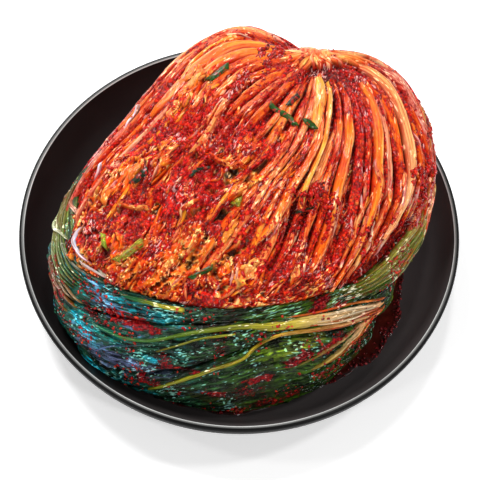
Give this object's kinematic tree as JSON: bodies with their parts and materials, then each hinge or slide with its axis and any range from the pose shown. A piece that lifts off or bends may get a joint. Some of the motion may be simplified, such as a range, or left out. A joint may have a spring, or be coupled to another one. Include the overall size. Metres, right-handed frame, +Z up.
{
  "type": "whole-cabbage kimchi in a dish",
  "caption": "Half head of napa-cabbage kimchi, cut face up with red seasoning, folded into its green outer leaves and served in a round shallow black dish.",
  "frame": {"origin": "on the table, under the centre of the dish", "axes": "+Z up; -Y is the front, the side with the folded green leaves; the root end of the cabbage is at the back, +Y; +X is to the right seen from the front"},
  "size_m": [0.26, 0.26, 0.0969],
  "materials": {
    "dish_glaze": "satin",
    "seasoned_leaf": "gloss",
    "green_leaf": "gloss",
    "scallion": "gloss"
  },
  "bodies": {
    "root": {"dish": "dish_glaze", "cabbage_half": "seasoned_leaf", "leaf_upper": "green_leaf", "leaf_middle": "green_leaf", "leaf_lower": "green_leaf", "scallion_01": "scallion", "scallion_02": "scallion", "scallion_03": "scallion", "scallion_04": "scallion", "scallion_05": "scallion", "scallion_06": "scallion", "scallion_07": "scallion", "scallion_08": "scallion", "scallion_09": "scallion", "scallion_10": "scallion", "scallion_11": "scallion"}
  },
  "joints": []
}
